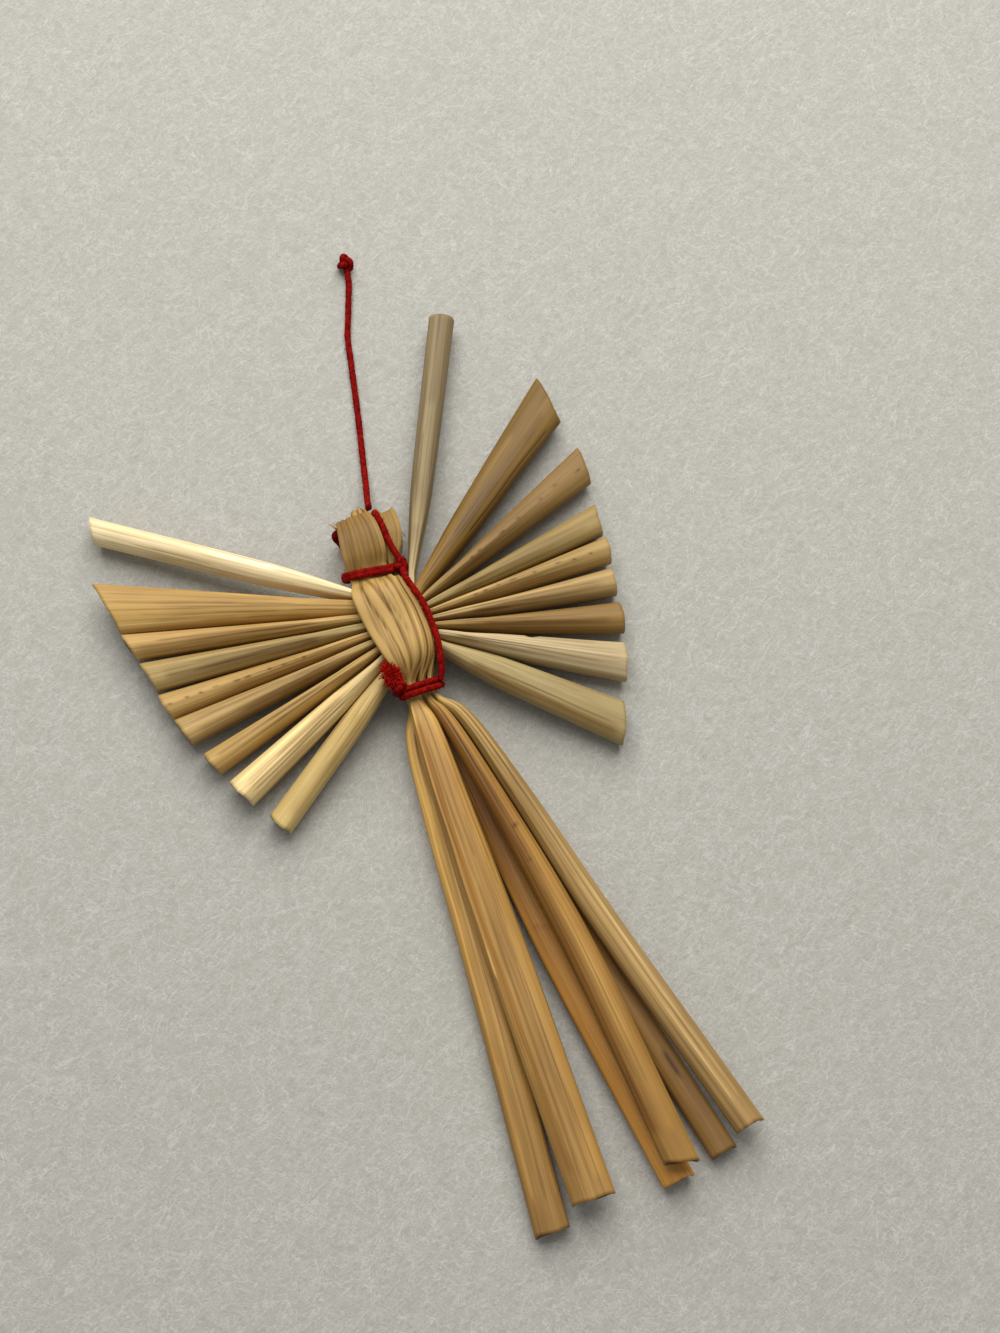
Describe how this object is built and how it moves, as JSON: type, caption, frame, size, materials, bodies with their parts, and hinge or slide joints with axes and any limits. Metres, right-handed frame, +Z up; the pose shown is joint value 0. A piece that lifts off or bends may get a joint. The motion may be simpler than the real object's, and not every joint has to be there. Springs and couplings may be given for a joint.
{
  "type": "straw ornament",
  "caption": "Winged figure of folded and crossed straws, bound at the neck and waist with red thread, with a hanging thread.",
  "frame": {"origin": "bottom centre of the bounding box of the figure lying on its back, measured without the hanging thread and its knot", "axes": "+Y points from the tail to the head, +X to the wing on the right seen from the front, +Z up out of the front"},
  "size_m": [0.0514, 0.1024, 0.0065],
  "materials": {
    "pale_straw": "dry straw, satin",
    "golden_straw": "dry straw, satin",
    "brown_straw": "dry straw, satin",
    "greenish_straw": "dry straw, satin",
    "body_straw": "dry straw, satin",
    "red_thread": "twisted cotton, matt"
  },
  "bodies": {
    "root": {"wing_straw_1": "pale_straw", "wing_straw_2": "golden_straw", "wing_straw_3": "brown_straw", "wing_straw_4": "greenish_straw", "wing_straw_5": "golden_straw", "wing_straw_6": "brown_straw", "wing_straw_7": "golden_straw", "wing_straw_8": "pale_straw", "wing_straw_9": "pale_straw", "body_straw_1": "body_straw", "body_straw_2": "body_straw", "body_straw_3": "body_straw", "binding_thread": "red_thread", "hanging_thread": "red_thread", "end_knot": "red_thread"}
  },
  "joints": []
}
